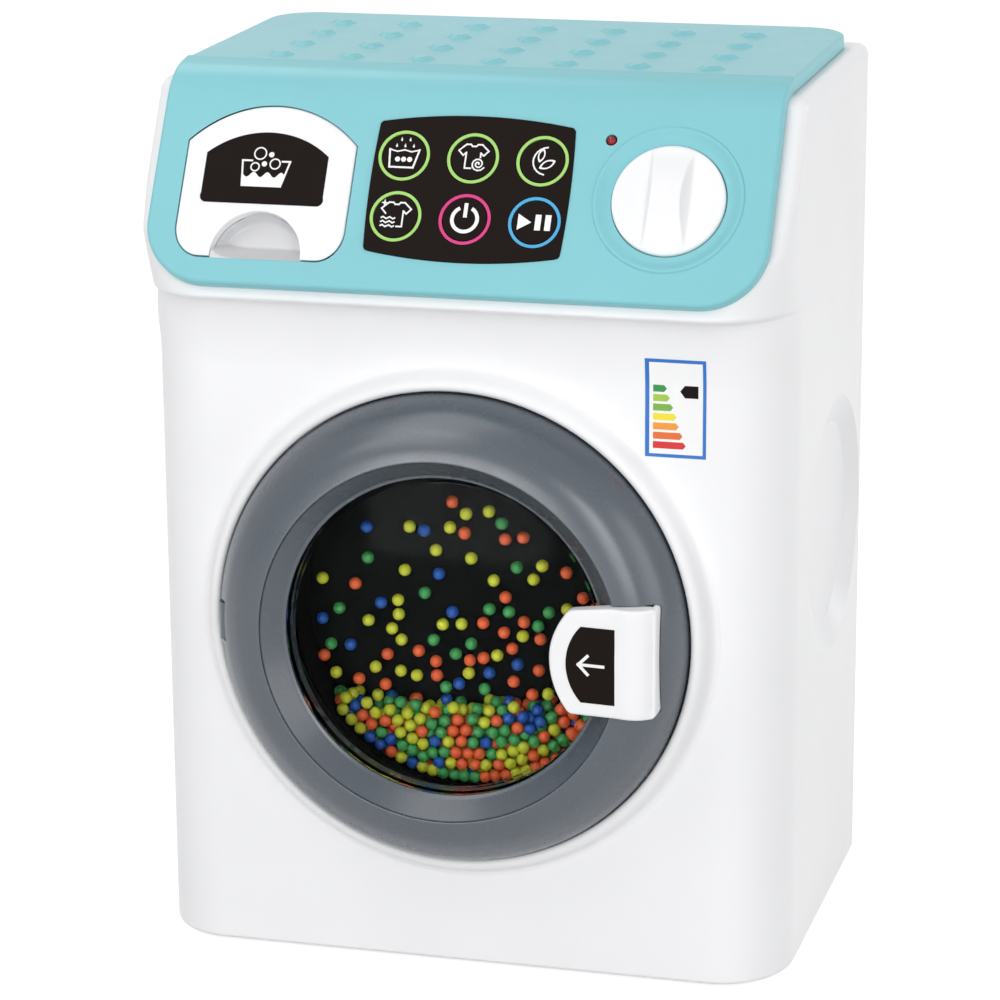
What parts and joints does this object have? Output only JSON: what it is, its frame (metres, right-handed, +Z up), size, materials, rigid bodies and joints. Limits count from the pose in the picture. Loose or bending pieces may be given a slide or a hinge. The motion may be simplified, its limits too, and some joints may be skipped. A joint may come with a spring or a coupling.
{
  "type": "toy washing machine",
  "caption": "Toy washing machine with a white casing, teal control cover, bull's-eye door, turning drum of coloured beads, keys, selector knob and drawer.",
  "frame": {"origin": "centre of the bounding box in plan, at the underside of the rubber feet", "axes": "+X to the right as seen from the front, +Y towards the back, +Z up"},
  "size_m": [0.215, 0.1668, 0.2978],
  "materials": {
    "shell_white": "moulded ABS, smooth satin gloss",
    "rear_white": "moulded ABS, fine matt",
    "cover_teal": "moulded ABS, glossy pale teal",
    "key_black": "printed black polycarbonate face",
    "ring_green": "printed ring",
    "ring_magenta": "printed ring",
    "ring_blue": "printed ring",
    "print_white": "white screen print",
    "lamp_red": "tinted clear epoxy",
    "steel": "zinc-plated steel",
    "dark_plastic": "black moulded plastic",
    "board_green": "solder-masked board",
    "drawer_grey": "pale grey moulding",
    "ring_grey": "blue-grey moulding, glossy",
    "clear": "clear polystyrene",
    "drum_black": "black moulding",
    "bronze": "sintered bronze",
    "gear_cream": "acetal",
    "motor_metal": "plated can",
    "bead_yellow": "bead",
    "bead_orange": "bead",
    "bead_green": "bead",
    "bead_blue": "bead",
    "cell_wrap": "plain wrapped cell",
    "foot_rubber": "soft pale rubber",
    "sticker_blue": "printed film"
  },
  "bodies": {
    "casing": {"front_casing": "shell_white", "rear_cover": "rear_white", "rubber_feet": "foot_rubber", "fascia_cover": "cover_teal", "keypad_bezel": "key_black", "key_rings_green": "ring_green", "key_ring_power": "ring_magenta", "key_ring_play": "ring_blue", "status_lamp": "lamp_red", "rotary_switch": "dark_plastic", "circuit_board": "board_green", "touch_switches": "dark_plastic", "drawer_guide": "rear_white", "hinge_bracket": "ring_grey", "hinge_pin": "steel", "axle_bush": "bronze", "drive_frame": "rear_white", "motor_can": "motor_metal", "beads_yellow": "bead_yellow", "beads_orange": "bead_orange", "beads_green": "bead_green", "beads_blue": "bead_blue", "battery_door": "rear_white", "battery_cells": "cell_wrap", "speaker": "dark_plastic", "case_screws": "steel", "front_sticker": "sticker_blue"},
    "drawer": {"drawer_front": "shell_white", "drawer_label": "key_black", "drawer_mark": "print_white", "drawer_grip": "drawer_grey", "drawer_tray": "drawer_grey"},
    "door": {"door_ring": "ring_grey", "door_window": "clear", "window_retainer": "ring_grey", "handle_pin": "steel", "handle_spring": "steel"},
    "handle": {"door_handle": "shell_white", "handle_label": "key_black", "handle_mark": "print_white"},
    "drum": {"drum_tub": "drum_black", "drum_disc": "clear", "drum_axle": "steel", "drum_gear": "gear_cream"},
    "rotor": {"motor_shaft": "steel", "motor_pinion": "gear_cream"},
    "selector": {"selector_knob": "shell_white", "knob_spindle": "steel"},
    "key_1_press": {"key_1": "key_black", "icon_1": "print_white"},
    "key_2_press": {"key_2": "key_black", "icon_2": "print_white"},
    "key_3_press": {"key_3": "key_black", "icon_3": "print_white"},
    "key_4_press": {"key_4": "key_black", "icon_4": "print_white"},
    "key_5_press": {"key_5": "key_black", "icon_5": "print_white"},
    "key_6_press": {"key_6": "key_black", "icon_6": "print_white"}
  },
  "joints": [
    {"name": "door_swing", "type": "hinge", "parent": "casing", "child": "door", "pos_m": [-0.0735, -0.06805, 0.1186], "axis": [0, 0, -1], "range_deg": [0, 105]},
    {"name": "handle_pull", "type": "hinge", "parent": "door", "child": "handle", "pos_m": [0.0655, -0.07205, 0.1186], "axis": [0, 0, 1], "range_deg": [0, 4], "stiffness_Nm_per_rad": 0.12, "springref_deg": -6.88},
    {"name": "drawer_slide", "type": "slide", "parent": "casing", "child": "drawer", "axis": [0, -1, 0], "range_m": [0, 0.04]},
    {"name": "selector_turn", "type": "hinge", "parent": "casing", "child": "selector", "pos_m": [0.0685, -0.05236, 0.26049], "axis": [0, -0.8616, 0.5075], "range_deg": [-150, 150]},
    {"name": "drum_spin", "type": "hinge", "parent": "casing", "child": "drum", "pos_m": [0, -0.03505, 0.1186], "axis": [0, -1, 0], "continuous": true},
    {"name": "rotor_spin", "type": "hinge", "parent": "casing", "child": "rotor", "pos_m": [0, -0.00105, 0.08254], "axis": [0, -1, 0], "continuous": true},
    {"name": "key_1_slide", "type": "slide", "parent": "casing", "child": "key_1_press", "axis": [0, 0.8616, -0.5075], "range_m": [0, 0.0012], "stiffness_N_per_m": 300, "springref_m": -0.0005},
    {"name": "key_2_slide", "type": "slide", "parent": "casing", "child": "key_2_press", "axis": [0, 0.8616, -0.5075], "range_m": [0, 0.0012], "stiffness_N_per_m": 300, "springref_m": -0.0005},
    {"name": "key_3_slide", "type": "slide", "parent": "casing", "child": "key_3_press", "axis": [0, 0.8616, -0.5075], "range_m": [0, 0.0012], "stiffness_N_per_m": 300, "springref_m": -0.0005},
    {"name": "key_4_slide", "type": "slide", "parent": "casing", "child": "key_4_press", "axis": [0, 0.8616, -0.5075], "range_m": [0, 0.0012], "stiffness_N_per_m": 300, "springref_m": -0.0005},
    {"name": "key_5_slide", "type": "slide", "parent": "casing", "child": "key_5_press", "axis": [0, 0.8616, -0.5075], "range_m": [0, 0.0012], "stiffness_N_per_m": 300, "springref_m": -0.0005},
    {"name": "key_6_slide", "type": "slide", "parent": "casing", "child": "key_6_press", "axis": [0, 0.8616, -0.5075], "range_m": [0, 0.0012], "stiffness_N_per_m": 300, "springref_m": -0.0005}
  ],
  "couplings": [
    {"joint": "rotor_spin", "follows": "drum_spin", "ratio": -5}
  ]
}
